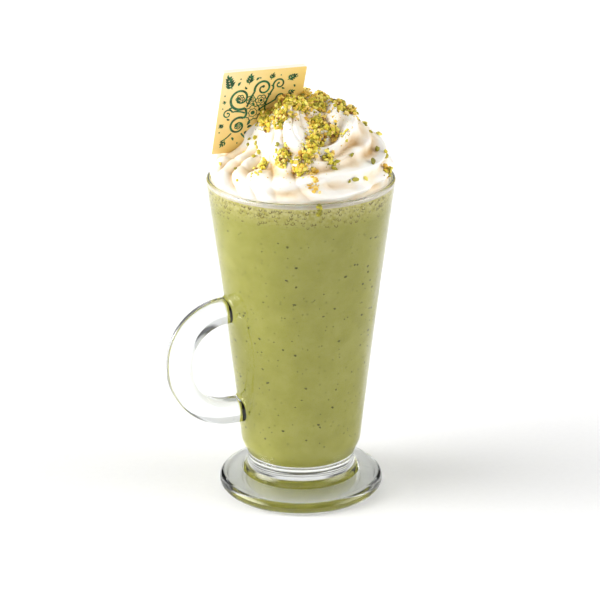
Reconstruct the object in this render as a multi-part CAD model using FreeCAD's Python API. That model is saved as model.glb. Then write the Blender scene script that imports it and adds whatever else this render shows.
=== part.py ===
import FreeCAD, Part
import math
import os

# A cold salep drink served in a tall handled glass, topped with a swirl of whipped
# cream and a printed white-chocolate square.
# Millimetres. The glass's axis is Z, the underside of its foot lies at z = 0,
# and the handle stands on the left, turned a little to the front (-Y).

# Glass: overall sizes
glass_height = 142.0
rim_radius = 40.0
rim_wall = 2.2

# Glass: the foot and the waist above it
foot_radius = 36.0
foot_edge_thickness = 5.8
foot_slope_rise = 2.4
foot_slope_length = 6.9
foot_slope_hold = 3.0
waist_radius = 23.4
waist_height = 14.0
recess_radius = 31.0
recess_depth = 3.0

# Glass: the bowl
bowl_low_height = 24.0
bowl_low_radius = 26.4
bowl_mid_height = 68.7
bowl_mid_radius = 31.15
bowl_low_wall = 4.2
bowl_mid_wall = 2.8
bowl_floor_height = 16.2
bowl_floor_corner = 9.0
wall_lean = 0.1
foot_waist_hold = 5.0
waist_hold = 6.5
bowl_hold = 9.0
floor_hold = 9.0

# Glass: the handle
handle_turn = 22.0
handle_middle_height = 63.0
handle_straight = 2.6
handle_bend_radius = 21.9
handle_neck = 2.75
handle_rooting = 8.4
handle_thickness = 10.4
handle_width = 12.0
handle_corner = 4.2
handle_joint_fillet = 1.6
seam_bow = 0.06

# Filling: how far each level lies below the rim
drink_below_rim = 11.5
froth_below_rim = 2.4
plug_below_rim = 1.6

# Whipped cream: the mound and its piped relief
mound_inset = 1.9
mound_rise = 34.0
mound_fullness = 1.9
mound_neck = 1.0
mound_neck_height = 3.5
shoulder_height = 9.0
shoulder_blend = 9.0
shoulder_setback = 0.36
shoulder_bearing = 200.0
shoulder_width = 80.0
rope_turns = 2.2
rope_depth = 3.2
rope_wander = 0.05
unevenness = 0.35
strand_count = 3.0
strand_depth = 3.2
strand_bearing = -35.0
strand_width = 115.0
flute_count = 22
flute_depth = 2.6
flute_wander = 0.012
flute_lean = 0.15
flute_bearing = -150.0
flute_width = 115.0
back_bearing = 95.0
back_width = 85.0
back_strand_share = 0.6
back_flute_share = 0.35
base_fade = 0.10
tip_fade = 0.12
groove_rounding = 0.02
ridge_mean = 0.65
crest_mean = 0.62
peak_height = 4.5
peak_radius = 6.5
peak_side = -5.0
peak_front = 11.0
hollow_depth = 6.0
hollow_radius = 9.0
hollow_side = 8.5
hollow_front = 20.0
dip_depth = 4.0
dip_radius = 7.0
dip_side = -15.0
dip_front = 19.0

# White-chocolate square
plaque_side = 38.3
plaque_thickness = 2.4
plaque_corner_radius = 0.6
plaque_yaw = 26.4
plaque_pitch = 14.7
plaque_roll = 2.4
plaque_inset = 2.7
plaque_forward = 6.0
plaque_lift = 11.15

# Fineness of the cream's skin
columns_per_flute = 6
cream_rows = 26
cream_top_climb = 0.985
climb_step = 0.01
skin_tolerance = 0.001

# Places that follow from the sizes above
handle_bend_centre = bowl_mid_radius + handle_neck
handle_root = bowl_low_radius - handle_rooting
drink_level = glass_height - drink_below_rim
froth_level = glass_height - froth_below_rim
cream_plug_level = glass_height - plug_below_rim
mound_radius = rim_radius - mound_inset


def vec(radius, height):
    return FreeCAD.Vector(radius, 0, height)


def arc_edge(start, middle, end):
    return Part.Arc(start, middle, end).toShape()


def line_edge(start, end):
    return Part.LineSegment(start, end).toShape()


def curve_edge(start, start_slope, end, end_slope):
    """A smooth curve between two points; a longer slope holds its direction further."""
    curve = Part.BSplineCurve()
    curve.interpolate(Points=[start, end], InitialTangent=start_slope, FinalTangent=end_slope)
    return curve.toShape()


def revolve(edges):
    face = Part.Face(Part.Wire(Part.__sortEdges__(edges)))
    solid = face.revolve(FreeCAD.Vector(0, 0, 0), FreeCAD.Vector(0, 0, 1), 360)
    if solid.Volume < 0:
        solid.reverse()
    return solid


def wall_arc(low_inset, mid_inset, top_inset):
    """The bowl's flaring side, moved in from the outer face by the wall at each height."""
    low = vec(bowl_low_radius - low_inset, bowl_low_height)
    middle = vec(bowl_mid_radius - mid_inset, bowl_mid_height)
    top = vec(rim_radius - top_inset, glass_height - rim_wall / 2)
    return Part.Arc(low, middle, top)


def radius_on(arc, height):
    """Where a wall arc crosses a height."""
    level = Part.LineSegment(vec(0, height), vec(rim_radius * 2, height))
    return arc.intersect(level)[0].X


outer_wall = wall_arc(0, 0, 0)
inner_wall = wall_arc(bowl_low_wall, bowl_mid_wall, rim_wall)


def floor_edges():
    """The bowl's inner floor: flat, with a round corner up to the inner wall."""
    corner_low = vec(bowl_low_radius - bowl_low_wall - bowl_floor_corner, bowl_floor_height)
    corner_high = vec(bowl_low_radius - bowl_low_wall, bowl_low_height)
    flat = line_edge(vec(0, bowl_floor_height), corner_low)
    corner = curve_edge(corner_low, vec(floor_hold, 0),
                        corner_high, vec(floor_hold * wall_lean, floor_hold))
    return [flat, corner]


def filling(low, high):
    """A solid slice of whatever fills the bowl, between two heights of its straight wall."""
    low_radius = radius_on(inner_wall, low)
    high_radius = radius_on(inner_wall, high)
    middle_height = (low + high) / 2
    side = arc_edge(
        vec(low_radius, low),
        vec(radius_on(inner_wall, middle_height), middle_height),
        vec(high_radius, high),
    )
    axis = line_edge(vec(0, high), vec(0, low))
    return revolve([line_edge(vec(0, low), vec(low_radius, low)), side,
                    line_edge(vec(high_radius, high), vec(0, high)), axis])


def glass_body():
    """The foot, waist and bowl as one turned block, with no hollow yet."""
    rim_middle = glass_height - rim_wall / 2
    foot_round = foot_edge_thickness / 2
    foot_centre = foot_radius - foot_round
    slope_top = vec(foot_centre - foot_slope_length, foot_edge_thickness + foot_slope_rise)
    slope_run = vec(-foot_slope_length, foot_slope_rise).normalize()
    recess_top = vec(0, recess_depth)
    recess_edge = vec(recess_radius, 0)
    foot_low = vec(foot_centre, 0)
    foot_high = vec(foot_centre, foot_edge_thickness)
    waist = vec(waist_radius, waist_height)
    bowl_low = vec(bowl_low_radius, bowl_low_height)
    rim_outer = vec(rim_radius, rim_middle)
    rim_top = vec(rim_radius - rim_wall / 2, glass_height)
    return revolve([
        arc_edge(recess_top, vec(recess_radius / 2, recess_depth * 3 / 4), recess_edge),
        line_edge(recess_edge, foot_low),
        arc_edge(foot_low, vec(foot_radius, foot_round), foot_high),
        line_edge(foot_high, slope_top),
        curve_edge(slope_top, slope_run * foot_slope_hold, waist, vec(0, foot_waist_hold)),
        curve_edge(waist, vec(0, waist_hold), bowl_low, vec(bowl_hold * wall_lean, bowl_hold)),
        outer_wall.toShape(),
        rim_quarter(rim_outer, rim_top, 1),
        line_edge(rim_top, vec(0, glass_height)),
        line_edge(vec(0, glass_height), recess_top),
    ])


def rim_quarter(start, end, side):
    """One of the two quarter rounds that make the lip; side is 1 outside and -1 inside."""
    lip_radius = rim_wall / 2
    slant = lip_radius * math.cos(math.radians(45))
    centre = vec(rim_radius - lip_radius, glass_height - lip_radius)
    return arc_edge(start, centre + vec(side * slant, slant), end)


def glass_hollow():
    """The space inside the bowl, from its floor to the lip."""
    rim_inner = vec(rim_radius - rim_wall, glass_height - rim_wall / 2)
    rim_top = vec(rim_radius - rim_wall / 2, glass_height)
    return revolve([
        *floor_edges(),
        inner_wall.toShape(),
        rim_quarter(rim_inner, rim_top, -1),
        line_edge(rim_top, vec(0, glass_height)),
        line_edge(vec(0, glass_height), vec(0, bowl_floor_height)),
    ])


def handle_section(centre):
    """A rounded rectangle across the handle's path, where the path runs along X."""
    half_high = handle_thickness / 2
    half_wide = handle_width / 2
    corner = handle_corner
    edges = []
    for turn in range(4):
        side = half_wide if turn % 2 == 0 else half_high
        reach = half_high if turn % 2 == 0 else half_wide
        spin = FreeCAD.Rotation(FreeCAD.Vector(1, 0, 0), 90 * turn)
        run_start = FreeCAD.Vector(0, side, corner - reach)
        run_end = FreeCAD.Vector(0, side, reach - corner)
        round_middle = FreeCAD.Vector(
            0, side - corner + corner * math.cos(math.radians(45)),
            reach - corner + corner * math.sin(math.radians(45)))
        round_end = FreeCAD.Vector(0, side - corner, reach)
        placed = [centre + spin.multVec(p) for p in (run_start, run_end, round_middle, round_end)]
        edges.append(line_edge(placed[0], placed[1]))
        edges.append(arc_edge(placed[1], placed[2], placed[3]))
    return Part.Wire(edges)


def handle():
    """A solid glass C whose two ends run into the bowl's block."""
    half_height = handle_bend_radius + handle_straight / 2
    top = handle_middle_height + half_height
    bottom = handle_middle_height - half_height
    outside = handle_bend_centre + handle_bend_radius
    slant = handle_bend_radius * math.cos(math.radians(45))
    straight_top = handle_middle_height + handle_straight / 2
    straight_bottom = handle_middle_height - handle_straight / 2
    start = vec(handle_root, top)
    path = Part.Wire([
        line_edge(start, vec(handle_bend_centre, top)),
        arc_edge(vec(handle_bend_centre, top),
                 vec(handle_bend_centre + slant, straight_top + slant),
                 vec(outside, straight_top)),
        line_edge(vec(outside, straight_top), vec(outside, straight_bottom)),
        arc_edge(vec(outside, straight_bottom),
                 vec(handle_bend_centre + slant, straight_bottom - slant),
                 vec(handle_bend_centre, bottom)),
        line_edge(vec(handle_bend_centre, bottom), vec(handle_root, bottom)),
    ])
    solid = path.makePipeShell([handle_section(start)], True, False)
    solid.rotate(FreeCAD.Vector(0, 0, 0), FreeCAD.Vector(0, 0, 1), 180 + handle_turn)
    return solid


def handle_joints(block):
    """The seam edges where the handle meets the bowl's side."""
    seams = []
    for edge in block.Edges:
        middle = edge.CenterOfMass
        if edge.Length > handle_width or not bowl_low_height < middle.z < glass_height - rim_wall:
            continue
        off_wall = math.hypot(middle.x, middle.y) - radius_on(outer_wall, middle.z)
        if abs(off_wall) < seam_bow and edge.Curve.TypeId != "Part::GeomLine":
            seams.append(edge)
    return seams


def glass():
    block = glass_body().fuse(handle()).removeSplitter()
    block = block.makeFillet(handle_joint_fillet, handle_joints(block))
    return block.cut(glass_hollow()).Solids[0]


def ridge(phase):
    """One rounded ridge per whole step of phase, with a narrow groove between ridges."""
    return math.sqrt(abs(math.sin(math.pi * phase)) + groove_rounding) - ridge_mean


def crest(phase):
    """One sharp crest per whole step of phase, with a wide hollow between crests."""
    return crest_mean - math.sqrt(math.sin(math.pi * phase) ** 2 + groove_rounding)


def window(angle, bearing, width):
    """1 at a bearing round the mound, fading to 0 that many degrees to each side."""
    away = (angle - math.radians(bearing) + math.pi) % (2 * math.pi) - math.pi
    share = min(abs(away) / math.radians(width), 1.0)
    return (1 + math.cos(math.pi * share)) / 2


def mound_section(angle, climb):
    """Radius and height of the plain mound, with climb running from 0 at its base to 1."""
    slant = math.radians(90) * climb
    power = 2 / mound_fullness
    radius = mound_radius * math.cos(slant) ** power
    height = mound_rise * math.sin(slant) ** power
    radius -= mound_neck * math.exp(-(height / mound_neck_height) ** 2)
    step = min(max((height - shoulder_height) / shoulder_blend, 0.0), 1.0)
    step = step * step * (3 - 2 * step)
    radius *= 1 - shoulder_setback * step * window(angle, shoulder_bearing, shoulder_width)
    return radius, height


def swell(x, y, side, front, radius, sharpness):
    """1 over a spot of the mound, fading away round it; a lower sharpness makes a point."""
    away = math.hypot(x - side, y + front) / radius
    return math.exp(-away ** sharpness)


def cream_point(angle, climb):
    """A point on the piped cream: the mound, a spiral rope round it, and the nozzle's ridges."""
    radius, height = mound_section(angle, climb)
    ahead_radius, ahead_height = mound_section(angle, climb + climb_step)
    run = math.hypot(ahead_radius - radius, ahead_height - height)
    out_side = (ahead_height - height) / run
    out_up = (radius - ahead_radius) / run
    turn = angle / (2 * math.pi)
    slow_wave = math.sin(3 * angle + 6 * climb + 1.0)
    quick_wave = math.sin(7 * angle - 11 * climb + 2.0)
    wander = 0.6 * slow_wave + 0.4 * quick_wave
    swellings = 1 + unevenness * math.sin(5 * angle + 9 * climb + 0.7)
    rope = rope_turns * climb - turn + rope_wander * wander
    folds = turn + flute_lean * climb + flute_wander * wander
    back = window(angle, back_bearing, back_width)
    strand_share = window(angle, strand_bearing, strand_width) + back_strand_share * back
    flute_share = window(angle, flute_bearing, flute_width) + back_flute_share * back
    relief = rope_depth * ridge(rope)
    relief += strand_depth * strand_share * swellings * crest(strand_count * rope)
    relief += flute_depth * flute_share * swellings * ridge(flute_count * folds)
    relief *= min(climb / base_fade, 1.0) * min((1 - climb) / tip_fade, 1.0)
    radius = radius + out_side * relief
    height = height + out_up * relief
    x = radius * math.cos(angle)
    y = radius * math.sin(angle)
    height += peak_height * swell(x, y, peak_side, peak_front, peak_radius, 1.3)
    height -= hollow_depth * swell(x, y, hollow_side, hollow_front, hollow_radius, 2)
    height -= dip_depth * swell(x, y, dip_side, dip_front, dip_radius, 2)
    return FreeCAD.Vector(x, y, cream_plug_level + height)


def level_ring(ring):
    """The same ring with all its points at their mean height, so that a flat cap fits it."""
    level = sum(p.z for p in ring) / len(ring)
    return [FreeCAD.Vector(p.x, p.y, level) for p in ring]


def cream_skin(rings):
    """A smooth cubic skin over the rings: closed round the mound and clamped at both ends."""
    skin = Part.BSplineSurface()
    rows = len(rings)
    columns = len(rings[0])
    skin.buildFromPolesMultsKnots(
        rings,
        [4] + [1] * (rows - 4) + [4],
        [1] * (columns + 1),
        list(range(rows - 2)),
        list(range(columns + 1)),
        False, True, 3, 3,
    )
    return skin.toShape()


def cream_mound():
    """The swirl as one closed solid, worked out ring by ring and capped flat at both ends."""
    columns = flute_count * columns_per_flute
    rings = []
    for row in range(cream_rows + 1):
        climb = cream_top_climb * row / cream_rows
        ring = [cream_point(2 * math.pi * c / columns, climb) for c in range(columns)]
        if row in (0, cream_rows):
            ring = level_ring(ring)
        rings.append(ring)
    side = cream_skin(rings)
    caps = [Part.Face(Part.Wire([edge])) for edge in side.Edges if edge.isClosed()]
    solid = Part.Solid(Part.Shell([side, *caps]))
    solid.fix(skin_tolerance, skin_tolerance, skin_tolerance)
    return solid


def cream(slab):
    """The mound on the plug that fills the glass's neck, cut round the white-chocolate square."""
    plug = filling(froth_level, cream_plug_level)
    return cream_mound().fuse(plug).cut(slab).Solids[0]


def plaque():
    """A thin square slab stood in the cream, seen nearly face on."""
    slab = Part.makeBox(plaque_side, plaque_thickness, plaque_side)
    slab = slab.makeFillet(plaque_corner_radius, [e for e in slab.Edges if e.Length < plaque_side])
    slab.rotate(FreeCAD.Vector(0, 0, 0), FreeCAD.Vector(0, 1, 0), plaque_roll)
    slab.rotate(FreeCAD.Vector(0, 0, 0), FreeCAD.Vector(1, 0, 0), plaque_pitch)
    slab.rotate(FreeCAD.Vector(0, 0, 0), FreeCAD.Vector(0, 0, 1), plaque_yaw)
    slab.translate(FreeCAD.Vector(plaque_inset - rim_radius, -plaque_forward,
                                  glass_height + plaque_lift))
    return slab.Solids[0]


def drink():
    """The salep itself, from the bowl's floor up to the froth."""
    top_radius = radius_on(inner_wall, drink_level)
    middle_height = (bowl_low_height + drink_level) / 2
    side = arc_edge(
        vec(bowl_low_radius - bowl_low_wall, bowl_low_height),
        vec(radius_on(inner_wall, middle_height), middle_height),
        vec(top_radius, drink_level),
    )
    return revolve([
        *floor_edges(),
        side,
        line_edge(vec(top_radius, drink_level), vec(0, drink_level)),
        line_edge(vec(0, drink_level), vec(0, bowl_floor_height)),
    ])


os.makedirs("parts", exist_ok=True)
slab = plaque()
nodes = {
    "glass": glass(),
    "drink": drink(),
    "froth": filling(drink_level, froth_level),
    "cream": cream(slab),
    "plaque": slab,
}
for name, solid in nodes.items():
    solid.exportStep(f"parts/{name}.step")
    print(name, solid.ShapeType, solid.isValid(), round(solid.Volume), "mm3")
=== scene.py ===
import math
import random

import bpy
import numpy as np
from mathutils import Matrix, Vector
from mathutils.bvhtree import BVHTree


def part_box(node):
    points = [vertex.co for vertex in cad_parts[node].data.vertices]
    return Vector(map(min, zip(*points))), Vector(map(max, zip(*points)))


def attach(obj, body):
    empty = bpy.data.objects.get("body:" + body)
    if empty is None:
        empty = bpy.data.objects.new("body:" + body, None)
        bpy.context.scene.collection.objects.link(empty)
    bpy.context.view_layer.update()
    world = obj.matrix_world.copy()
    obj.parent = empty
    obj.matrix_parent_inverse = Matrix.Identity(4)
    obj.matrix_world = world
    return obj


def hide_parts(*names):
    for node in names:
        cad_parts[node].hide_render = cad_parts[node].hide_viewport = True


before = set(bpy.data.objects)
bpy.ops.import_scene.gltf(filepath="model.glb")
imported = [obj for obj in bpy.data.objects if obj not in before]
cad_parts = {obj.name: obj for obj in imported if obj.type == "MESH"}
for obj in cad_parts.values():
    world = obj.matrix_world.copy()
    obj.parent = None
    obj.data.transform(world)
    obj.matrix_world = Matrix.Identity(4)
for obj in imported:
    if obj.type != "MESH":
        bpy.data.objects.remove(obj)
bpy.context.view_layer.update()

mm = 0.001        # sizes below are millimetres; this turns them into metres
intoWall = 0.15   # the fillings reach this far into the glass, so that no air shows between
edgeRing = 0.05   # from a filling's sharp edge to the ring beside it
ringStep = 0.4    # least distance between a filling's other rings

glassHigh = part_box("glass")[1]
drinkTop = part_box("drink")[1][2] / mm
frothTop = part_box("froth")[1][2] / mm
plaqueLow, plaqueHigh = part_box("plaque")
rimRadius = glassHigh[0] / mm
rimHeight = glassHigh[2] / mm


# an sRGB colour in hex, as the linear values that a material takes
def linear(hexColour):
    channels = [int(hexColour[i:i + 2], 16) / 255 for i in (1, 3, 5)]
    return (*(c / 12.92 if c <= 0.04045 else ((c + 0.055) / 1.055) ** 2.4 for c in channels), 1.0)


# adds a node with its settings; inputs are values, or outputs of other nodes to link
def addNode(tree, kind, inputs=None, stops=None, **settings):
    node = tree.nodes.new(kind)
    for name, value in settings.items():
        setattr(node, name, value)
    for name, value in (inputs or {}).items():
        if isinstance(value, bpy.types.NodeSocket):
            tree.links.new(value, node.inputs[name])
        else:
            node.inputs[name].default_value = value
    if stops:
        elements = node.color_ramp.elements
        while len(elements) < len(stops):
            elements.new(0.5)
        for element, (place, colour) in zip(elements, stops):
            element.position = place
            element.color = linear(colour)
    return node


# a plain surface, with the place on the piece ready for textures
def newMaterial(name):
    material = bpy.data.materials.new(name)
    material.use_nodes = True
    tree = material.node_tree
    tree.nodes.clear()
    output = addNode(tree, "ShaderNodeOutputMaterial")
    shader = addNode(tree, "ShaderNodeBsdfPrincipled")
    tree.links.new(shader.outputs["BSDF"], output.inputs["Surface"])
    place = addNode(tree, "ShaderNodeTexCoord").outputs["Object"]
    return material, tree, shader, place


# points in millimetres become a mesh in metres that rides with the glass
def meshPiece(name, points, faces, material, smooth=True):
    mesh = bpy.data.meshes.new(name)
    mesh.from_pydata([[float(c) * mm for c in point] for point in points], [], faces)
    mesh.update()
    mesh.polygons.foreach_set("use_smooth", [smooth] * len(mesh.polygons))
    piece = bpy.data.objects.new(name, mesh)
    bpy.context.scene.collection.objects.link(piece)
    piece.data.materials.append(material)
    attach(piece, "root")
    return piece


# (height, radius) of a turned CAD node, from its floor to its top
def turnedProfile(node):
    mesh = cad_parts[node].data
    flat = np.empty(len(mesh.vertices) * 3)
    mesh.vertices.foreach_get("co", flat)
    profile = {}
    for x, y, height in flat.reshape(-1, 3) / mm:
        key = round(float(height), 2)
        profile[key] = max(profile.get(key, 0), math.hypot(x, y))
    return sorted(profile.items())


# skins rings of points, with a single point at each end
def ringFaces(rings, segments):
    faces = []
    last = 1 + rings * segments
    for i in range(segments):
        j = (i + 1) % segments
        faces.append((0, 1 + j, 1 + i))
        for ring in range(rings - 1):
            low = 1 + ring * segments
            high = low + segments
            faces.append((low + i, low + j, high + j, high + i))
        faces.append((last, last - segments + i, last - segments + j))
    return faces


# turns an outline of (radius, height) round the glass's axis
def turnedPiece(name, profile, material, segments=256):
    points = [(0, 0, profile[0][1])]
    for radius, height in profile[1:-1]:
        for i in range(segments):
            angle = 2 * math.pi * i / segments
            points.append((radius * math.cos(angle), radius * math.sin(angle), height))
    points.append((0, 0, profile[-1][1]))
    return meshPiece(name, points, ringFaces(len(profile) - 2, segments), material)


# the outline of a filling, pushed a little into the glass beside it and, where it stands on glass,
# under it; rings close to its sharp edges keep their shading crisp
def filledProfile(rows, top, onGlass):
    floor = rows[0][0] - intoWall * onGlass
    corner = rows[0][1] + intoWall * (not onGlass)
    side = rows[-1][1] + intoWall
    outline = [(0, floor), (corner * 0.5, floor), (corner - edgeRing, floor), (corner, floor)]
    outline += [(corner, floor + edgeRing)] * (not onGlass)
    last = rows[0]
    for height, radius in rows[1:-1]:
        if math.hypot(height - last[0], radius - last[1]) > ringStep:
            outline.append((radius + intoWall, height))
            last = (height, radius)
    outline += [(side, top - edgeRing), (side, top), (side - edgeRing, top),
                (side * 0.6, top), (0, top)]
    return outline


glassLook = {"tint": "#FAFCFB", "refraction": 1.52, "waviness": 0.05, "waveMm": 11.0,
             "waveDepthMm": 0.4}


# pressed soda-lime glass, fire polished: clear and smooth, with very shallow waves
def pressedGlass():
    material, tree, shader, place = newMaterial("firePolishedGlass")
    waves = addNode(tree, "ShaderNodeTexNoise", {
        "Vector": place, "Scale": 1 / (glassLook["waveMm"] * mm), "Detail": 1.0})
    bump = addNode(tree, "ShaderNodeBump", {
        "Height": waves.outputs["Fac"], "Strength": glassLook["waviness"],
        "Distance": glassLook["waveDepthMm"] * mm})
    shader.inputs["Base Color"].default_value = linear(glassLook["tint"])
    shader.inputs["Roughness"].default_value = 0.0
    shader.inputs["IOR"].default_value = glassLook["refraction"]
    shader.inputs["Transmission Weight"].default_value = 1.0
    tree.links.new(bump.outputs["Normal"], shader.inputs["Normal"])
    return material


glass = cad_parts["glass"]
glass.data.materials.clear()
glass.data.materials.append(pressedGlass())
print("glass done")

drinkLook = {"body": "#BDBA54", "pale": "#C4C160", "deep": "#B6B34C", "cloudMm": 9.0,
             "blurMm": 2.6, "blurAbove": 0.72, "blurStrength": 0.45, "shine": 0.05}
frothLook = {"foam": "#EEE6A0", "hollow": "#CFC35E", "low": "#BDBA54", "cellMm": 1.3,
             "patchMm": 4.0, "shine": 0.05}
# both kinds lie between two heights, closer together towards the upper one where crowding is above
# 1; a hole is a share of the size
fleckLook = {"count": 420, "mm": (0.22, 0.68), "low": 26, "high": drinkTop - 2, "hole": 0,
             "crowding": 1.0, "pale": "#7E7C2E", "dark": "#50521C"}
# the bubbles are dark rings: painted shade where light bends away at each bubble's edge against the
# glass
bubbleLook = {"count": 720, "mm": (0.2, 0.8), "low": drinkTop + 0.6, "high": frothTop - 0.8,
              "hole": 0.6, "crowding": 1.8, "pale": "#9A8836", "dark": "#6C5C18"}
wallRows = {"drink": turnedProfile("drink"), "froth": turnedProfile("froth")}


# thick milk drink with ground pistachio through it: opaque, satin and faintly cloudy
def milkDrink():
    material, tree, shader, place = newMaterial("thickMilkDrink")
    clouds = addNode(tree, "ShaderNodeTexNoise", {
        "Vector": place, "Scale": 1 / (drinkLook["cloudMm"] * mm), "Detail": 5.0, "Roughness": 0.6})
    colour = addNode(tree, "ShaderNodeValToRGB", {"Fac": clouds.outputs["Fac"]}, [
        (0.34, drinkLook["deep"]), (0.5, drinkLook["body"]), (0.66, drinkLook["pale"])])
    # blurred specks that lie a little way under the surface
    specks = addNode(tree, "ShaderNodeTexVoronoi", {
        "Vector": place, "Scale": 1 / (drinkLook["blurMm"] * mm)})
    near = addNode(tree, "ShaderNodeMapRange", {
        "Value": specks.outputs["Distance"], "From Min": 0.08, "From Max": 0.26,
        "To Min": drinkLook["blurStrength"], "To Max": 0.0})
    split = addNode(tree, "ShaderNodeSeparateColor", {"Color": specks.outputs["Color"]})
    chosen = addNode(tree, "ShaderNodeMath", {
        0: split.outputs["Red"], 1: drinkLook["blurAbove"]}, operation="GREATER_THAN")
    amount = addNode(tree, "ShaderNodeMath", {0: near.outputs[0], 1: chosen.outputs[0]},
                     operation="MULTIPLY")
    mixed = addNode(tree, "ShaderNodeMix", {
        0: amount.outputs[0], 6: colour.outputs["Color"], 7: linear(fleckLook["pale"])},
        data_type="RGBA")
    tree.links.new(mixed.outputs[2], shader.inputs["Base Color"])
    shader.inputs["Roughness"].default_value = 0.5
    # it lies against glass and hardly shines
    shader.inputs["Specular IOR Level"].default_value = drinkLook["shine"]
    shader.inputs["Subsurface Weight"].default_value = 0.15
    shader.inputs["Subsurface Radius"].default_value = (0.9, 0.8, 0.35)
    shader.inputs["Subsurface Scale"].default_value = 2.0 * mm
    return material


# fine foam: pale cells with darker liquid between them, closer to the drink's colour lower down
def fineFroth():
    material, tree, shader, place = newMaterial("fineFroth")
    split = addNode(tree, "ShaderNodeSeparateXYZ", {"Vector": place})
    height = addNode(tree, "ShaderNodeMapRange", {
        "Value": split.outputs["Z"], "From Min": drinkTop * mm, "From Max": frothTop * mm})
    cells = addNode(tree, "ShaderNodeTexVoronoi", {
        "Vector": place, "Scale": 1 / (frothLook["cellMm"] * mm)})
    patches = addNode(tree, "ShaderNodeTexNoise", {
        "Vector": place, "Scale": 1 / (frothLook["patchMm"] * mm), "Detail": 3.0})
    blend = addNode(tree, "ShaderNodeMath", {
        0: cells.outputs["Distance"], 1: patches.outputs["Fac"]}, operation="MULTIPLY")
    foam = addNode(tree, "ShaderNodeValToRGB", {"Fac": blend.outputs[0]}, [
        (0.1, frothLook["foam"]), (0.45, frothLook["hollow"])])
    mixed = addNode(tree, "ShaderNodeMix", {
        0: height.outputs[0], 6: linear(frothLook["low"]), 7: foam.outputs["Color"]},
        data_type="RGBA")
    bump = addNode(tree, "ShaderNodeBump", {
        "Height": cells.outputs["Distance"], "Strength": 0.3, "Distance": 0.2 * mm})
    tree.links.new(mixed.outputs[2], shader.inputs["Base Color"])
    tree.links.new(bump.outputs["Normal"], shader.inputs["Normal"])
    shader.inputs["Roughness"].default_value = 0.45
    shader.inputs["Specular IOR Level"].default_value = frothLook["shine"]
    return material


# a wet speck, or the dark ring of a bubble seen through the glass, which is painted shade where
# light bends away at the bubble's edge: soft, and uneven in tone
def wetSpeck(name, dark, pale):
    material, tree, shader, place = newMaterial(name)
    tone = addNode(tree, "ShaderNodeTexNoise", {"Vector": place, "Scale": 1 / (0.9 * mm)})
    colour = addNode(tree, "ShaderNodeValToRGB", {"Fac": tone.outputs["Fac"]}, [
        (0.35, dark), (0.65, pale)])
    tree.links.new(colour.outputs["Color"], shader.inputs["Base Color"])
    shader.inputs["Roughness"].default_value = 0.5
    shader.inputs["Specular IOR Level"].default_value = drinkLook["shine"]
    return material


# each speck has an outline and, inside it, a second one that stands a little prouder
speckShape = {"sides": 9, "stretch": (1.0, 1.4), "outer": 0.01, "inner": 0.04, "middle": 0.4}


# flat uneven discs, or rings where hole is above 0, that lie against the inside of the glass
def wallSpecks(name, rows, look, material, chooser):
    points, faces = [], []
    sides = speckShape["sides"]
    low, high, sizes, hole = look["low"], look["high"], look["mm"], look["hole"]
    rims = ((1.0, speckShape["outer"]), (hole or speckShape["middle"], speckShape["inner"]))
    for _ in range(look["count"]):
        height = high - (high - low) * chooser.random() ** look["crowding"]
        angle = chooser.uniform(0, 2 * math.pi)
        radius = float(np.interp(height, [r[0] for r in rows], [r[1] for r in rows])) + intoWall
        size = sizes[0] + (sizes[1] - sizes[0]) * chooser.random() ** 2
        stretch = chooser.uniform(*speckShape["stretch"])
        tilt = chooser.uniform(0, math.pi)
        start = len(points)
        for share, proud in rims:
            reach = radius + proud
            for k in range(sides):
                around = 2 * math.pi * k / sides
                wobble = (1 + 0.12 * math.sin(2 * around + start)
                          + 0.08 * math.sin(3 * around + angle))
                a = size * stretch * share * math.cos(around) * wobble
                b = size * share * math.sin(around) * wobble
                side = a * math.cos(tilt) - b * math.sin(tilt)
                up = a * math.sin(tilt) + b * math.cos(tilt)
                points.append((reach * math.cos(angle) - side * math.sin(angle),
                               reach * math.sin(angle) + side * math.cos(angle), height + up))
        for k in range(sides):
            ahead = (k + 1) % sides
            faces.append((start + k, start + ahead, start + sides + ahead, start + sides + k))
        if not hole:
            faces.append(tuple(start + sides + k for k in range(sides)))
    return meshPiece(name, points, faces, material)


drink = turnedPiece("drinkBody", filledProfile(wallRows["drink"], drinkTop, True), milkDrink())
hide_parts("drink")
froth = turnedPiece("frothLayer", filledProfile(wallRows["froth"], frothTop, False), fineFroth())
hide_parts("froth")
speckChooser = random.Random(11)
wallSpecks("pistachioFlecks", wallRows["drink"], fleckLook,
           wetSpeck("wetPistachioFleck", fleckLook["dark"], fleckLook["pale"]), speckChooser)
# dark rings painted as the shade at the edges of the froth's bubbles
wallSpecks("frothBubbles", wallRows["froth"], bubbleLook,
           wetSpeck("frothBubbleEdgeShade", bubbleLook["dark"], bubbleLook["pale"]), speckChooser)
print("drink and froth done")

# the piped mound: bearings and widths in degrees, depths and heights in millimetres, and climb from
# 0 at its foot to 1 at its tip
creamShape = {
    "plugTop": rimHeight - 1.6, "radius": rimRadius - 1.9, "rise": 34.0, "fullness": 1.9,
    "neck": 1.0, "neckHeight": 3.5,
    "shoulderHeight": 9.0, "shoulderBlend": 9.0, "shoulderSetback": 0.36,
    "shoulderBearing": 200.0, "shoulderWidth": 80.0,
    "ropeTurns": 2.2, "ropeDepth": 3.2, "ropeWander": 0.05, "unevenness": 0.35,
    "strandCount": 3.0, "strandDepth": 3.2, "strandBearing": -35.0, "strandWidth": 115.0,
    "fluteCount": 22, "fluteDepth": 2.6, "fluteLean": 0.15, "fluteWander": 0.012,
    "fluteBearing": -150.0, "fluteWidth": 115.0,
    "backBearing": 95.0, "backWidth": 85.0, "backStrandShare": 0.6, "backFluteShare": 0.35,
    "baseFade": 0.10, "tipFade": 0.12, "tipClimb": 0.985, "tipCap": 0.3,
    "rippleDepth": 0.6, "lumpDepth": 0.35, "hemDepth": 1.9, "hemClimb": 0.1, "hemWidth": 0.06,
}
grooveSoftness = 0.02   # rounds the bottom of a groove and the edge of a crest
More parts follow.
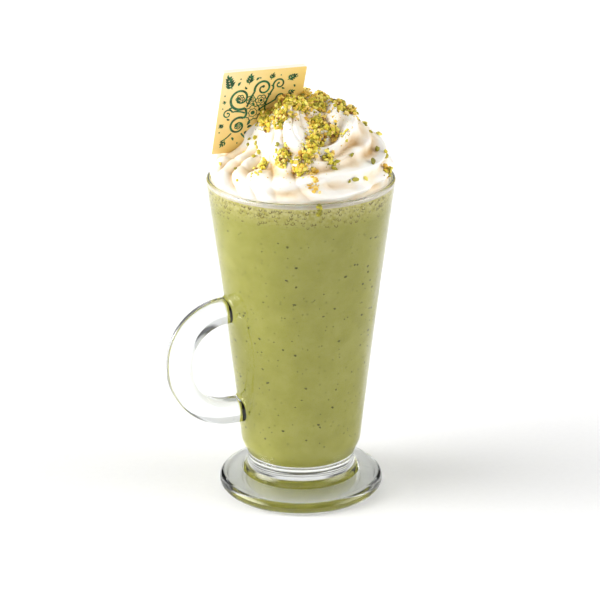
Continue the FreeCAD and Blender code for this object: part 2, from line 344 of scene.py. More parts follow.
ridgeMean = 0.65        # taken off so that ridges and crests lie evenly about the mound's surface
crestMean = 0.62
creamSpots = [   # lift, side, front, spread, sharpness: one pulled peak, and the hollows by it
    (4.5, -5.0, 11.0, 6.5, 1.3),
    (-6.0, 8.5, 20.0, 9.0, 2.0),
    (-4.0, -15.0, 19.0, 7.0, 2.0),
]
# white is the cream's own colour; shade and hollow are painted shade, darker and warmer the deeper
# a point lies in a groove between the deepest and highest relief
creamLook = {"white": "#F7F3EB", "shade": "#ECDABC", "hollow": "#C9A672",
             "columns": 440, "rows": 200, "deepest": -2.8, "highest": 2.0}


# one rounded ridge per whole step of phase, with a narrow groove between ridges
def ridge(phase):
    return np.sqrt(np.abs(np.sin(np.pi * phase)) + grooveSoftness) - ridgeMean


# one sharp crest per whole step of phase, with a wide hollow between crests
def crest(phase):
    return crestMean - np.sqrt(np.sin(np.pi * phase) ** 2 + grooveSoftness)


# 1 at a bearing round the mound, fading to 0 that many degrees to each side
def window(angle, bearing, width):
    away = (angle - math.radians(bearing) + math.pi) % (2 * math.pi) - math.pi
    share = np.minimum(np.abs(away) / math.radians(width), 1.0)
    return (1 + np.cos(np.pi * share)) / 2


# radius and height of the smooth mound, leaner on the side of its shoulder
def moundSection(angle, climb):
    s = creamShape
    slant = math.radians(90) * climb
    power = 2 / s["fullness"]
    radius = s["radius"] * np.cos(slant) ** power
    height = s["rise"] * np.sin(slant) ** power
    radius = radius - s["neck"] * np.exp(-(height / s["neckHeight"]) ** 2)
    step = np.clip((height - s["shoulderHeight"]) / s["shoulderBlend"], 0, 1)
    step = step * step * (3 - 2 * step)
    setback = s["shoulderSetback"] * window(angle, s["shoulderBearing"], s["shoulderWidth"])
    return radius * (1 - step * setback), height


# a rope wound up the mound, with the nozzle's strands and flutes along it, and dents at its hem
def creamSurface(columns, rows):
    s = creamShape
    angle, climb = np.meshgrid(np.arange(columns) * 2 * math.pi / columns,
                               np.linspace(0, s["tipClimb"], rows), indexing="xy")
    radius, height = moundSection(angle, climb)
    # outward and upward across the surface, from a point a little further up it
    aheadRadius, aheadHeight = moundSection(angle, climb + 0.01)
    run = np.hypot(aheadRadius - radius, aheadHeight - height)
    outSide = (aheadHeight - height) / run
    outUp = (radius - aheadRadius) / run
    turn = angle / (2 * math.pi)
    # slow uneven waves, each a whole number of times round the mound so that it closes
    wander = 0.6 * np.sin(3 * angle + 6 * climb + 1.0) + 0.4 * np.sin(7 * angle - 11 * climb + 2.0)
    swellings = 1 + s["unevenness"] * np.sin(5 * angle + 9 * climb + 0.7)
    rope = s["ropeTurns"] * climb - turn + s["ropeWander"] * wander
    folds = turn + s["fluteLean"] * climb + s["fluteWander"] * wander
    back = window(angle, s["backBearing"], s["backWidth"])
    strands = window(angle, s["strandBearing"], s["strandWidth"]) + s["backStrandShare"] * back
    flutes = window(angle, s["fluteBearing"], s["fluteWidth"]) + s["backFluteShare"] * back
    relief = s["ropeDepth"] * ridge(rope)
    relief += s["strandDepth"] * strands * swellings * crest(s["strandCount"] * rope)
    relief += s["fluteDepth"] * flutes * swellings * ridge(s["fluteCount"] * folds)
    ripple = np.sin(5.5 * rope * math.pi + 4 * angle + 2.2 * np.sin(5 * angle - 8 * climb))
    lumps = np.sin(13 * angle + 17 * climb + 1.7 * wander) * np.sin(6 * angle - 23 * climb + 0.5)
    relief += s["rippleDepth"] * (strands + flutes) * ripple * swellings + s["lumpDepth"] * lumps
    hem = np.exp(-((climb - s["hemClimb"]) / s["hemWidth"]) ** 2)
    relief -= s["hemDepth"] * hem * np.maximum(
        np.sin(8 * angle + 1.5 * np.sin(3 * angle + 1.0) + 14 * climb), 0)
    relief *= np.minimum(climb / s["baseFade"], 1) * np.minimum((1 - climb) / s["tipFade"], 1)
    radius = radius + outSide * relief
    height = height + outUp * relief
    x = radius * np.cos(angle)
    y = radius * np.sin(angle)
    for lift, side, front, spread, sharpness in creamSpots:
        away = np.hypot(x - side, y + front) / spread
        height = height + lift * np.exp(-away ** sharpness)
    return x, y, s["plugTop"] + height, relief


# whipped cream: soft white with light passing under its skin, and painted shade that turns it
# warmer and darker down in its grooves
def whippedCream():
    material, tree, shader, place = newMaterial("whippedCream")
    groove = addNode(tree, "ShaderNodeAttribute", attribute_name="groove")
    mottle = addNode(tree, "ShaderNodeTexNoise", {
        "Vector": place, "Scale": 1 / (3 * mm), "Detail": 4.0})
    depth = addNode(tree, "ShaderNodeMath", {
        0: mottle.outputs["Fac"], 1: 0.3, 2: groove.outputs["Fac"]}, operation="MULTIPLY_ADD")
    # painted shade: the deeper a point lies in a groove, the warmer and darker the cream
    colour = addNode(tree, "ShaderNodeValToRGB", {"Fac": depth.outputs[0]}, [
        (0.38, creamLook["white"]), (0.7, creamLook["shade"]), (0.98, creamLook["hollow"])])
    fine = addNode(tree, "ShaderNodeTexNoise", {
        "Vector": place, "Scale": 1 / (0.8 * mm), "Detail": 5.0, "Roughness": 0.6})
    bump = addNode(tree, "ShaderNodeBump", {
        "Height": fine.outputs["Fac"], "Strength": 0.25, "Distance": 0.15 * mm})
    tree.links.new(colour.outputs["Color"], shader.inputs["Base Color"])
    tree.links.new(bump.outputs["Normal"], shader.inputs["Normal"])
    shader.inputs["Roughness"].default_value = 0.42
    shader.inputs["Subsurface Weight"].default_value = 0.3
    shader.inputs["Subsurface Radius"].default_value = (1.0, 0.8, 0.6)
    shader.inputs["Subsurface Scale"].default_value = 1.2 * mm
    return material


def makeCream():
    columns = creamLook["columns"]
    x, y, z, relief = creamSurface(columns, creamLook["rows"])
    angles = np.arange(columns) * 2 * math.pi / columns
    plug = creamShape["plugTop"] - frothTop
    wall = wallRows["froth"][-1][1] + intoWall
    rings = []
    # the plug that stands on the froth, out to the wall, then the mound's own rings
    for share, radius in ((0, wall * 0.5), (0, wall), (0.5, wall + 0.05), (0.9, wall + 0.1)):
        rings.append((radius * np.cos(angles), radius * np.sin(angles),
                      np.full(columns, frothTop + plug * share), np.zeros(columns)))
    rings += list(zip(x, y, z, relief))
    points = [(0, 0, frothTop)]
    for ring in rings:
        points += list(zip(ring[0], ring[1], ring[2]))
    points.append((float(np.mean(x[-1])), float(np.mean(y[-1])),
                   float(np.mean(z[-1])) + creamShape["tipCap"]))
    piece = meshPiece("creamSwirl", points, ringFaces(len(rings), columns), whippedCream())
    # how deep each point lies in the grooves, which the cream's colour turns into painted shade
    highest = creamLook["highest"]
    grooves = [(highest - ring[3]) / (highest - creamLook["deepest"]) for ring in rings]
    groove = np.concatenate([[0.5]] + grooves + [[0.3]])
    layer = piece.data.attributes.new("groove", "FLOAT", "POINT")
    layer.data.foreach_set("value", np.clip(groove, 0, 1).astype(np.float32))
    return piece


cream = makeCream()
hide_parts("cream")
print("cream done")

plaquePose = {"yaw": 26.4, "pitch": 14.7, "roll": 2.4, "inset": 2.7, "forward": 6.0, "lift": 11.15}
chocolateLook = {"pale": "#FFE9B4", "body": "#FDDE90", "deep": "#FDD45A", "edge": "#FFF3E0"}
printLook = {"dark": "#0D4526", "light": "#2A7A4C", "above": 0.05}


# turns the square's own millimetres (right, back, up) into the model's
def plaquePlacing():
    p = plaquePose
    turn = (Matrix.Rotation(math.radians(p["yaw"]), 3, "Z")
            @ Matrix.Rotation(math.radians(p["pitch"]), 3, "X")
            @ Matrix.Rotation(math.radians(p["roll"]), 3, "Y"))
    return turn, Vector((p["inset"] - rimRadius, -p["forward"], rimHeight + p["lift"]))


# tempered white chocolate: waxy satin, butter yellow, deeper down where it meets the cream
def whiteChocolate():
    material, tree, shader, place = newMaterial("temperedWhiteChocolate")
    split = addNode(tree, "ShaderNodeSeparateXYZ", {"Vector": place})
    across = addNode(tree, "ShaderNodeMapRange", {
        "Value": split.outputs["X"], "From Min": plaqueLow[0], "From Max": plaqueHigh[0],
        "To Min": 0.0, "To Max": 0.5})
    down = addNode(tree, "ShaderNodeMapRange", {
        "Value": split.outputs["Z"], "From Min": plaqueHigh[2], "From Max": plaqueLow[2],
        "To Min": 0.0, "To Max": 0.4})
    mottle = addNode(tree, "ShaderNodeTexNoise", {
        "Vector": place, "Scale": 1 / (9 * mm), "Detail": 3.0})
    total = addNode(tree, "ShaderNodeMath", {0: across.outputs[0], 1: down.outputs[0]},
                    operation="ADD")
    total = addNode(tree, "ShaderNodeMath", {
        0: mottle.outputs["Fac"], 1: 0.25, 2: total.outputs[0]}, operation="MULTIPLY_ADD")
    face = addNode(tree, "ShaderNodeValToRGB", {"Fac": total.outputs[0]}, [
        (0.1, chocolateLook["pale"]), (0.5, chocolateLook["body"]), (0.95, chocolateLook["deep"])])
    # its edges are paler than its face
    front = plaquePlacing()[0] @ Vector((0, -1, 0))
    normal = addNode(tree, "ShaderNodeTexCoord").outputs["Normal"]
    facing = addNode(tree, "ShaderNodeVectorMath", {0: normal, 1: tuple(front)},
                     operation="DOT_PRODUCT")
    flat = addNode(tree, "ShaderNodeMath", {0: facing.outputs["Value"]}, operation="ABSOLUTE")
    edge = addNode(tree, "ShaderNodeMapRange", {
        "Value": flat.outputs[0], "From Min": 0.5, "From Max": 0.95, "To Min": 1.0, "To Max": 0.0})
    mixed = addNode(tree, "ShaderNodeMix", {
        0: edge.outputs[0], 6: face.outputs["Color"], 7: linear(chocolateLook["edge"])},
        data_type="RGBA")
    fine = addNode(tree, "ShaderNodeTexNoise", {"Vector": place, "Scale": 1 / (1.2 * mm)})
    bump = addNode(tree, "ShaderNodeBump", {
        "Height": fine.outputs["Fac"], "Strength": 0.12, "Distance": 0.05 * mm})
    tree.links.new(mixed.outputs[2], shader.inputs["Base Color"])
    tree.links.new(bump.outputs["Normal"], shader.inputs["Normal"])
    shader.inputs["Roughness"].default_value = 0.38
    shader.inputs["Subsurface Weight"].default_value = 0.1
    shader.inputs["Subsurface Radius"].default_value = (1.0, 0.7, 0.3)
    shader.inputs["Subsurface Scale"].default_value = 1.0 * mm
    return material


# cocoa-butter transfer: thin dark green fat colour, a little uneven in strength
def transferInk():
    material, tree, shader, place = newMaterial("cocoaButterTransfer")
    tone = addNode(tree, "ShaderNodeTexNoise", {
        "Vector": place, "Scale": 1 / (1.6 * mm), "Detail": 3.0})
    colour = addNode(tree, "ShaderNodeValToRGB", {"Fac": tone.outputs["Fac"]}, [
        (0.42, printLook["dark"]), (0.62, printLook["light"])])
    tree.links.new(colour.outputs["Color"], shader.inputs["Base Color"])
    shader.inputs["Roughness"].default_value = 0.4
    return material


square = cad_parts["plaque"]
square.data.materials.clear()
square.data.materials.append(whiteChocolate())

# the print is drawn flat, in millimetres right and up on the square's face
inkPoints, inkFaces = [], []


# adds one flat shape to the print
def ink(points, faces):
    start = len(inkPoints)
    inkPoints.extend(points)
    inkFaces.extend(tuple(start + k for k in face) for face in faces)


# a strip along a line, as wide as widths says for each share of the way
def ribbon(line, widths):
    points = []
    for k, (x, y) in enumerate(line):
        ahead = line[min(k + 1, len(line) - 1)]
        behind = line[max(k - 1, 0)]
        dx, dy = ahead[0] - behind[0], ahead[1] - behind[1]
        length = math.hypot(dx, dy) or 1
        half = widths(k / (len(line) - 1)) / 2
        points += [(x - dy / length * half, y + dx / length * half),
                   (x + dy / length * half, y - dx / length * half)]
    ink(points, [(2 * k, 2 * k + 1, 2 * k + 3, 2 * k + 2) for k in range(len(line) - 1)])


# winds inward round a middle point, from an angle in degrees; positive turns go left
def coil(x, y, radius, start, turns, width, steps=64):
    line = []
    for k in range(steps + 1):
        share = k / steps
        angle = math.radians(start + 360 * turns * share)
        reach = radius * (1 - 0.78 * share)
        line.append((x + reach * math.cos(angle), y + reach * math.sin(angle)))
    ribbon(line, lambda share: width * (1.25 - 0.5 * share))
    dot(*line[-1], width * 0.75)


# a free curve through a start, two pulls and an end
def stem(start, pull, push, end, width, steps=24):
    line = []
    for k in range(steps + 1):
        t = k / steps
        weights = ((1 - t) ** 3, 3 * t * (1 - t) ** 2, 3 * t * t * (1 - t), t ** 3)
        line.append(tuple(sum(w * p[i] for w, p in zip(weights, (start, pull, push, end)))
                          for i in (0, 1)))
    ribbon(line, lambda share: width)


# a pointed leaf, bent a little to one side
def leaf(x, y, heading, length, width, steps=10):
    c, s = math.cos(math.radians(heading)), math.sin(math.radians(heading))
    points = []
    for k in range(steps + 1):
        share = k / steps
        half = width / 2 * math.sin(math.pi * share ** 0.8)
        bend = 0.12 * length * math.sin(math.pi * share)
        for side in (bend + half, bend - half):
            points.append((x + c * length * share - s * side, y + s * length * share + c * side))
    ink(points, [(2 * k, 2 * k + 1, 2 * k + 3, 2 * k + 2) for k in range(steps)])


def dot(x, y, radius, sides=14):
    angles = [2 * math.pi * k / sides for k in range(sides)]
    ink([(x + radius * math.cos(angle), y + radius * math.sin(angle)) for angle in angles],
        [tuple(range(sides))])


def lobedRing(x, y, radius, width, lobes, depth, spin=0.0, steps=72):
    line = []
    for k in range(steps + 1):
        angle = 2 * math.pi * k / steps
        reach = radius * (1 + depth * abs(math.cos(lobes * (angle + spin) / 2)))
        line.append((x + reach * math.cos(angle), y + reach * math.sin(angle)))
    ribbon(line, lambda share: width)


# two lobed rings about a dot, with a small dot in each petal
def blossom(x, y, size, petals):
    lobedRing(x, y, size * 0.78, 0.42, petals, 0.28)
    lobedRing(x, y, size * 0.45, 0.3, petals, 0.2, 0.5)
    dot(x, y, size * 0.26)
    for k in range(petals):
        angle = 2 * math.pi * (k + 0.5) / petals
        dot(x + size * 0.66 * math.cos(angle), y + size * 0.66 * math.sin(angle), 0.16, 8)


# a twig with pairs of leaves that get smaller towards its tip
def spray(x, y, heading, length, pairs, size):
    c, s = math.cos(math.radians(heading)), math.sin(math.radians(heading))
    ribbon([(x + c * length * k / 8, y + s * length * k / 8) for k in range(9)],
           lambda share: 0.34 * (1.1 - 0.6 * share))
    for k in range(pairs):
        share = (k + 0.6) / pairs
        for side in (-1, 1):
            leaf(x + c * length * share, y + s * length * share, heading + side * 48,
                 size * (1.15 - 0.5 * share), size * 0.42)
    leaf(x + c * length, y + s * length, heading, size * 0.8, size * 0.35)


def makePrint():
    # coils on stems that branch from one another
    for winding in ((9.6, 25.6, 5.4, -60, -1.35, 0.95), (19.4, 29.6, 4.0, 200, -1.3, 0.85),
                    (10.2, 12.6, 4.2, 60, 1.3, 0.85), (26.6, 31.0, 2.9, 215, -1.25, 0.7),
                    (22.6, 15.2, 3.2, 100, 1.25, 0.7), (4.6, 18.6, 2.3, 20, 1.2, 0.6),
                    (28.2, 24.4, 2.2, 190, -1.2, 0.6)):
        coil(*winding)
    for branch in (((12.3, 20.9), (13.6, 18.6), (13.6, 17.4), (12.3, 16.2), 1.0),
                   ((13.0, 21.4), (13.8, 23.6), (14.6, 26.6), (15.6, 28.2), 0.9),
                   ((22.0, 18.4), (20.4, 21.6), (22.6, 26.6), (24.2, 29.3), 0.8),
                   ((18.6, 19.2), (20.6, 21.6), (24.0, 22.2), (26.0, 24.0), 0.7),
                   ((6.8, 19.4), (8.0, 20.0), (10.0, 19.6), (12.6, 18.6), 0.7),
                   ((12.2, 9.0), (13.6, 6.8), (15.6, 5.8), (18.0, 5.4), 0.7),
                   ((7.6, 9.4), (6.2, 7.6), (4.8, 6.4), (3.2, 5.8), 0.6)):
        stem(*branch)
    for flower in ((16.2, 18.4, 3.6, 7), (19.2, 24.0, 2.6, 6), (14.4, 24.6, 2.1, 5),
                   (10.2, 12.6, 1.5, 5), (9.4, 25.4, 1.9, 6)):
        blossom(*flower)
    # leafy sprays round the outside, then loose leaves and dots between
    for leafy in ((5.0, 30.4, 112, 5.2, 4, 2.9), (12.6, 32.0, 84, 3.4, 3, 2.4),
                  (3.2, 24.6, 190, 0.6, 1, 1.5), (30.2, 32.6, 28, 3.4, 3, 2.2),
                  (22.4, 33.4, 70, 2.0, 2, 1.9), (31.0, 26.0, 20, 2.4, 2, 1.9),
                  (3.4, 14.0, 215, 1.4, 2, 1.7), (5.2, 6.2, 236, 2.4, 2, 2.0),
                  (18.0, 5.4, -8, 2.2, 2, 2.0), (26.2, 14.4, -20, 2.4, 2, 2.0)):
        spray(*leafy)
    for x, y, heading, length in (
            (15.2, 15.0, 250, 2.6), (19.6, 14.4, 100, 2.4), (7.6, 31.6, 60, 2.2),
            (15.6, 33.6, 40, 2.0), (23.6, 26.4, 160, 2.0), (6.4, 21.8, 200, 1.9),
            (14.6, 11.4, 20, 2.4), (6.0, 15.8, 150, 1.8), (24.4, 20.0, -30, 2.4),
            (8.0, 7.4, 300, 2.0), (16.6, 22.0, 130, 1.8), (29.4, 28.6, 150, 1.7),
            (13.8, 8.4, 60, 1.8), (33.4, 30.2, -60, 1.6), (12.0, 29.8, 130, 1.8)):
        leaf(x, y, heading, length, length * 0.5)
    for x, y, radius in (
            (2.2, 27.4, 0.36), (17.4, 34.6, 0.36), (26.8, 35.2, 0.3), (33.2, 23.4, 0.34),
            (2.0, 10.2, 0.34), (8.4, 34.8, 0.32), (28.0, 19.0, 0.36), (2.0, 21.4, 0.3),
            (23.2, 30.6, 0.3), (11.0, 4.4, 0.32), (21.2, 8.6, 0.34), (34.6, 34.0, 0.3)):
        dot(x, y, radius)
    turn, shift = plaquePlacing()
    points = [turn @ Vector((x, -printLook["above"], y)) + shift for x, y in inkPoints]
    piece = meshPiece("floralPrint", points, inkFaces, transferInk(), smooth=False)


makePrint()
print("chocolate square done")

# chopped pistachio, in degrees seen from inside the mound's foot: a crown of heaps, high and low by
# turns, and a fall of nuts from it down the front
nutCrown = {"heaps": 12, "low": 56, "high": 74, "spread": 10, "count": 165, "deep": 3.8}
nutFall = {"heaps": 5, "bearing": -70, "aside": -5, "top": 46, "down": 8, "spread": 7, "count": 95,
           "deep": 2.6}
# smaller heaps beside them: bearing, height angle, spread, crumbs, and depth
nutHeaps = [(-150, 50, 8, 140, 3.6), (-180, 50, 8, 120, 3.6), (-50, 40, 8, 110, 2.6),
            (0, 48, 8, 90, 2.2), (30, 50, 8, 90, 2.2), (-105, 20, 8, 110, 1.5),
            (-125, 12, 6, 40, 1.0), (-65, 20, 6, 40, 1.2), (-20, 0, 3.5, 34, 3.0)]
nutHeaps += [(k * 360 / nutCrown["heaps"], nutCrown["high" if k % 2 else "low"], nutCrown["spread"],
              nutCrown["count"], nutCrown["deep"]) for k in range(nutCrown["heaps"])]
nutHeaps += [(nutFall["bearing"] + k * nutFall["aside"], nutFall["top"] - k * nutFall["down"],
              nutFall["spread"], nutFall["count"], nutFall["deep"])
             for k in range(nutFall["heaps"])]
# single crumbs to the left and right of the fall, ranges of bearing, height angle and millimetres
nutSprinkles = [
    {"bearing": (-165, -105), "rise": (0, 34), "size": (1.4, 2.5), "count": 16},
    {"bearing": (-66, 28), "rise": (0, 32), "size": (1.6, 3.4), "count": 18},
]
nutTrail = {"bearing": -81, "top": 13, "bottom": -3, "count": 44, "width": 1.2}
# crumbs stuck outside the rim, under the trail
nutDrip = {"bearing": -79, "width": 0.7, "step": 0.75, "count": 7, "size": (1.5, 2.6)}
nutKinds = {
    "pistachioGreen": {"share": 0.44, "colours": ("#B5A716", "#DECE3A", "#F4E674")},
    "pistachioGolden": {"share": 0.30, "colours": ("#CC9E26", "#EDC64C", "#FAE08C")},
    "pistachioOlive": {"share": 0.17, "colours": ("#706C0C", "#99921A", "#BEB236")},
    "pistachioSkin": {"share": 0.09, "colours": ("#4E300C", "#7E5216", "#A67822")},
}
nutSizes = {"crumb": (1.0, 2.7), "trail": (0.9, 1.8), "dust": (0.35, 0.8), "dustCount": 2800}
nutMiddle = 6   # height above the rim of the point that the directions start from
# how crumbs gather: towards a heap's middle, towards the small sizes, and how high they pile up
nutGather = {"middle": 0.55, "small": 1.6, "pile": 0.8, "dustSpread": 1.6}
# shares of a crumb's size: its broken planes, its three sides, its roughness and how it lies
crumbShape = {"cuts": 4, "cutDepth": (0.35, 0.8), "long": (0.8, 1.25), "wide": (0.6, 1.0),
              "thick": (0.5, 0.8), "rough": 0.12, "spin": 6.28, "tilt": 0.5, "proud": 0.16,
              "clearOfSquare": 0.4, "splitOver": 0.8, "toneSpread": 0.6}


# roasted, chopped nut: matt broken faces, every crumb a little different in tone
def choppedNut(name, colours):
    material, tree, shader, place = newMaterial(name)
    tone = addNode(tree, "ShaderNodeAttribute", attribute_name="tone")
    grain = addNode(tree, "ShaderNodeTexNoise", {
        "Vector": place, "Scale": 1 / (0.7 * mm), "Detail": 3.0})
    total = addNode(tree, "ShaderNodeMath", {
        0: grain.outputs["Fac"], 1: 0.4, 2: tone.outputs["Fac"]}, operation="MULTIPLY_ADD")
    colour = addNode(tree, "ShaderNodeValToRGB", {"Fac": total.outputs[0]}, [
        (0.15, colours[0]), (0.5, colours[1]), (0.85, colours[2])])
    bump = addNode(tree, "ShaderNodeBump", {
        "Height": grain.outputs["Fac"], "Strength": 0.5, "Distance": 0.15 * mm})
    tree.links.new(colour.outputs["Color"], shader.inputs["Base Color"])
    tree.links.new(bump.outputs["Normal"], shader.inputs["Normal"])
    shader.inputs["Roughness"].default_value = 0.55
    return material


# a ball of triangles about one unit across its radius, once split for the larger crumbs
def crumbBall(split):
    golden = (1 + 5 ** 0.5) / 2
    corners = [(-1, golden, 0), (1, golden, 0), (-1, -golden, 0), (1, -golden, 0),
               (0, -1, golden), (0, 1, golden), (0, -1, -golden), (0, 1, -golden),
               (golden, 0, -1), (golden, 0, 1), (-golden, 0, -1), (-golden, 0, 1)]
    faces = [(0, 11, 5), (0, 5, 1), (0, 1, 7), (0, 7, 10), (0, 10, 11), (1, 5, 9), (5, 11, 4),
             (11, 10, 2), (10, 7, 6), (7, 1, 8), (3, 9, 4), (3, 4, 2), (3, 2, 6), (3, 6, 8),
             (3, 8, 9), (4, 9, 5), (2, 4, 11), (6, 2, 10), (8, 6, 7), (9, 8, 1)]
    points = [Vector(c).normalized() for c in corners]
    if split:
        middles, smaller = {}, []
        for a, b, c in faces:
            between = []
            for pair in ((a, b), (b, c), (c, a)):
                key = tuple(sorted(pair))
                if key not in middles:
                    middles[key] = len(points)
                    points.append(((points[key[0]] + points[key[1]]) / 2).normalized())
                between.append(middles[key])
            ab, bc, ca = between
            smaller += [(a, ab, ca), (b, bc, ab), (c, ca, bc), (ab, bc, ca)]
        faces = smaller
    return np.array([tuple(p) for p in points]), faces


def makeNuts():
    chooser = random.Random(23)
    depsgraph = bpy.context.evaluated_depsgraph_get()
    creamTree = BVHTree.FromObject(cream, depsgraph)
    squareTree = BVHTree.FromObject(square, depsgraph)
    centre = Vector((0, 0, rimHeight + nutMiddle))
    shapes = {True: crumbBall(True), False: crumbBall(False)}
    names = list(nutKinds)
    shares = [nutKinds[kind]["share"] for kind in names]
    piles = {kind: {"points": [], "faces": [], "tones": []} for kind in names}

    def direction(bearing, rise):
        b, r = math.radians(bearing), math.radians(rise)
        return Vector((math.cos(b) * math.cos(r), math.sin(b) * math.cos(r), math.sin(r)))

    # a chunk broken along a few flat planes, laid with its longest side along the cream
    def addCrumb(spot, normal, size, kind):
        points, faces = shapes[size > crumbShape["splitOver"]]
        points = points.copy()
        for _ in range(crumbShape["cuts"]):
            cut = np.array([chooser.gauss(0, 1) for _ in range(3)])
            cut /= np.linalg.norm(cut)
            over = np.maximum(points @ cut - chooser.uniform(*crumbShape["cutDepth"]), 0)
            points -= np.outer(over, cut)
        points *= [chooser.uniform(*crumbShape[side]) for side in ("long", "wide", "thick")]
        bumps = np.array([chooser.uniform(-1, 1) for _ in points])
        points *= 1 + crumbShape["rough"] * bumps[:, None]
        lay = (normal.to_track_quat("Z", "Y").to_matrix()
               @ Matrix.Rotation(chooser.uniform(0, crumbShape["spin"]), 3, "Z")
               @ Matrix.Rotation(chooser.gauss(0, crumbShape["tilt"]), 3, "X"))
        points = points @ np.array(lay).T * size / 2 + np.array(spot)
        pile = piles[kind]
        start = len(pile["points"])
        pile["points"] += points.tolist()
        pile["faces"] += [tuple(start + k for k in face) for face in faces]
        pile["tones"] += [chooser.random() * crumbShape["toneSpread"]] * len(points)

    # lays a crumb on the cream in one direction from the middle of the mound, beside the square
    def drop(way, size, lift, kind):
        hit, normal, _, _ = creamTree.ray_cast(centre * mm, way)
        if hit is None:
            return
        spot = hit / mm + normal * (size * crumbShape["proud"] + lift)
        near, face, _, far = squareTree.find_nearest(spot * mm)
        if (spot * mm - near).dot(face) > 0 and far / mm > size * crumbShape["clearOfSquare"]:
            addCrumb(spot, normal, size, kind)

    # a direction near the given one, and how far out it is as a share of the spread
    def scatter(way, spread):
        side = way.cross(Vector((0.3, 0.2, 1))).normalized()
        away = abs(chooser.gauss(0, nutGather["middle"]))
        around = chooser.uniform(0, 2 * math.pi)
        offset = math.tan(math.radians(spread)) * away
        near = way + (side * math.cos(around) + way.cross(side) * math.sin(around)) * offset
        return near.normalized(), away

    for bearing, rise, spread, count, deep in nutHeaps:
        for _ in range(count):
            way, away = scatter(direction(bearing, rise), spread)
            small, large = nutSizes["crumb"]
            size = small + (large - small) * chooser.random() ** nutGather["small"]
            drop(way, size, deep * max(0, 1 - away) * chooser.random() * nutGather["pile"],
                 chooser.choices(names, shares)[0])
    for sprinkle in nutSprinkles:
        for _ in range(sprinkle["count"]):
            way = direction(chooser.uniform(*sprinkle["bearing"]),
                            chooser.uniform(*sprinkle["rise"]))
            drop(way, chooser.uniform(*sprinkle["size"]), 0, chooser.choice(names[::2]))
    for _ in range(nutTrail["count"]):
        rise = chooser.uniform(nutTrail["bottom"], nutTrail["top"])
        drop(direction(nutTrail["bearing"] + chooser.gauss(0, nutTrail["width"]), rise),
             chooser.uniform(*nutSizes["trail"]), 0, "pistachioGolden")
    for k in range(nutDrip["count"]):
        out = direction(nutDrip["bearing"] + chooser.gauss(0, nutDrip["width"]), 0)
        below = nutDrip["step"] * k
        addCrumb(out * (rimRadius + 0.25 - 0.1 * below) + Vector((0, 0, rimHeight - below)), out,
                 chooser.uniform(*nutDrip["size"]), "pistachioOlive")
    weights = [heap[3] for heap in nutHeaps]
    for _ in range(nutSizes["dustCount"]):
        heap = chooser.choices(nutHeaps, weights)[0]
        way = scatter(direction(heap[0], heap[1]), heap[2] * nutGather["dustSpread"])[0]
        drop(way, chooser.uniform(*nutSizes["dust"]), 0, chooser.choices(names, shares)[0])
    for kind, pile in piles.items():
        piece = meshPiece(kind, pile["points"], pile["faces"],
                          choppedNut(kind + "Chopped", nutKinds[kind]["colours"]), smooth=False)
        layer = piece.data.attributes.new("tone", "FLOAT", "POINT")
        layer.data.foreach_set("value", pile["tones"])
        print(kind, len(pile["faces"]), "triangles")


makeNuts()
print("nuts done")

studio = {"base": 0.80, "left": 9.4, "right": 3.6, "front": 0.15, "flags": 0.38, "floorGlow": 0.06}


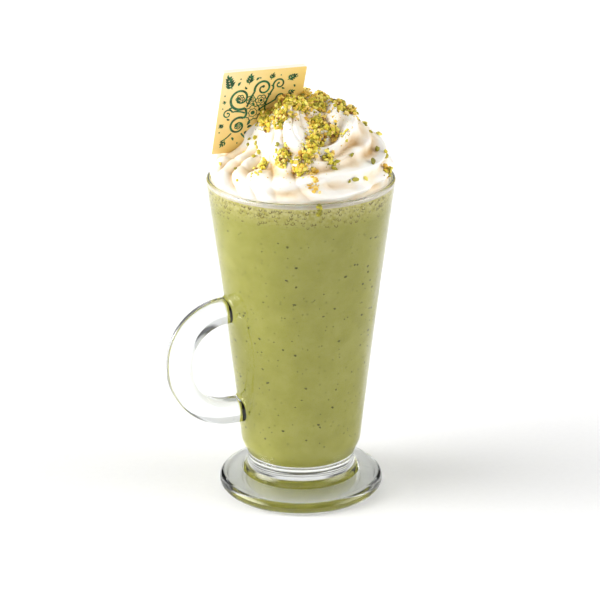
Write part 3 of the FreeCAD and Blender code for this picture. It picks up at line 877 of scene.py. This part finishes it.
# a white tent round the table, dim towards the viewer, with a strong soft light at the left and a
# weaker one at the right; a dark flag either side of the background draws the lines in the glass
def makeWorld():
    world = bpy.data.worlds.new("studioTent")
    world.use_nodes = True
    tree = world.node_tree
    tree.nodes.clear()
    output = addNode(tree, "ShaderNodeOutputWorld")
    place = addNode(tree, "ShaderNodeTexCoord").outputs["Generated"]
    split = addNode(tree, "ShaderNodeSeparateXYZ", {"Vector": place})
    toFront = addNode(tree, "ShaderNodeMapRange", {
        "Value": split.outputs["Y"], "From Min": -0.2, "From Max": -0.8,
        "To Min": 0.0, "To Max": 1.0}, interpolation_type="SMOOTHSTEP")
    left = addNode(tree, "ShaderNodeMapRange", {
        "Value": split.outputs["X"], "From Min": -0.95, "From Max": -0.6,
        "To Min": studio["left"], "To Max": 0.0}, interpolation_type="SMOOTHSTEP")
    right = addNode(tree, "ShaderNodeMapRange", {
        "Value": split.outputs["X"], "From Min": 0.6, "From Max": 0.95,
        "To Min": 0.0, "To Max": studio["right"]}, interpolation_type="SMOOTHSTEP")
    sides = addNode(tree, "ShaderNodeMath", {0: left.outputs[0], 1: right.outputs[0]},
                    operation="ADD")
    beside = addNode(tree, "ShaderNodeMapRange", {
        "Value": split.outputs["Y"], "From Min": 0.05, "From Max": 0.35,
        "To Min": 1.0, "To Max": 0.0})
    lamps = addNode(tree, "ShaderNodeMath", {0: sides.outputs[0], 1: beside.outputs[0]},
                    operation="MULTIPLY")
    tent = addNode(tree, "ShaderNodeMix", {
        0: toFront.outputs[0], 2: studio["base"], 3: studio["front"]}, data_type="FLOAT")
    strength = addNode(tree, "ShaderNodeMath", {0: tent.outputs[0], 1: lamps.outputs[0]},
                       operation="ADD")
    aside = addNode(tree, "ShaderNodeMath", {0: split.outputs["X"]}, operation="ABSOLUTE")
    grey = "#%02X%02X%02X" % ((round(255 * studio["flags"]),) * 3)
    flags = addNode(tree, "ShaderNodeValToRGB", {"Fac": aside.outputs[0]}, [
        (0.26, "#FFFFFF"), (0.38, grey), (0.56, grey), (0.7, "#FFFFFF")])
    behind = addNode(tree, "ShaderNodeMapRange", {
        "Value": split.outputs["Y"], "From Min": 0.0, "From Max": 0.3})
    colour = addNode(tree, "ShaderNodeMix", {
        0: behind.outputs[0], 6: (1, 1, 1, 1), 7: flags.outputs["Color"]}, data_type="RGBA")
    background = addNode(tree, "ShaderNodeBackground", {
        "Color": colour.outputs[2], "Strength": strength.outputs[0]})
    tree.links.new(background.outputs[0], output.inputs["Surface"])
    bpy.context.scene.world = world


# seamless white paper: keeps a soft contact shadow and goes white further out
def makeFloor():
    material, tree, shader, place = newMaterial("whitePaperSweep")
    grain = addNode(tree, "ShaderNodeTexNoise", {"Vector": place, "Scale": 400.0})
    colour = addNode(tree, "ShaderNodeValToRGB", {"Fac": grain.outputs["Fac"]}, [
        (0.3, "#F6F6F6"), (0.7, "#F8F8F8")])
    tree.links.new(colour.outputs["Color"], shader.inputs["Base Color"])
    shader.inputs["Roughness"].default_value = 0.9
    shader.inputs["Specular IOR Level"].default_value = 0.1
    shader.inputs["Emission Color"].default_value = (1, 1, 1, 1)
    shader.inputs["Emission Strength"].default_value = studio["floorGlow"]
    reach = 6.0         # metres from the middle to each side
    drop = -0.15 * mm   # just under the foot
    mesh = bpy.data.meshes.new("floor")
    mesh.from_pydata([(-reach, -reach, drop), (reach, -reach, drop), (reach, reach, drop),
                      (-reach, reach, drop)], [], [(0, 1, 2, 3)])
    floor = bpy.data.objects.new("floor", mesh)
    bpy.context.scene.collection.objects.link(floor)
    floor.data.materials.append(material)


# metres in front of the drink and above the table, and degrees that it looks down
viewpoint = {"front": 0.867, "height": 0.4149, "down": 20.78, "lens": 129.05, "sensor": 36,
             "shift": -0.0016, "nearest": 0.05}


def makeCamera():
    camera = bpy.data.cameras.new("camera")
    camera.lens = viewpoint["lens"]
    camera.sensor_width = viewpoint["sensor"]
    camera.shift_x = viewpoint["shift"]
    camera.clip_start = viewpoint["nearest"]
    viewer = bpy.data.objects.new("camera", camera)
    viewer.location = (0, -viewpoint["front"], viewpoint["height"])
    viewer.rotation_euler = (math.radians(90 - viewpoint["down"]), 0, 0)
    bpy.context.scene.collection.objects.link(viewer)
    bpy.context.scene.camera = viewer


makeWorld()
makeFloor()
makeCamera()
bpy.context.scene.view_settings.view_transform = "Standard"
print("stage done")
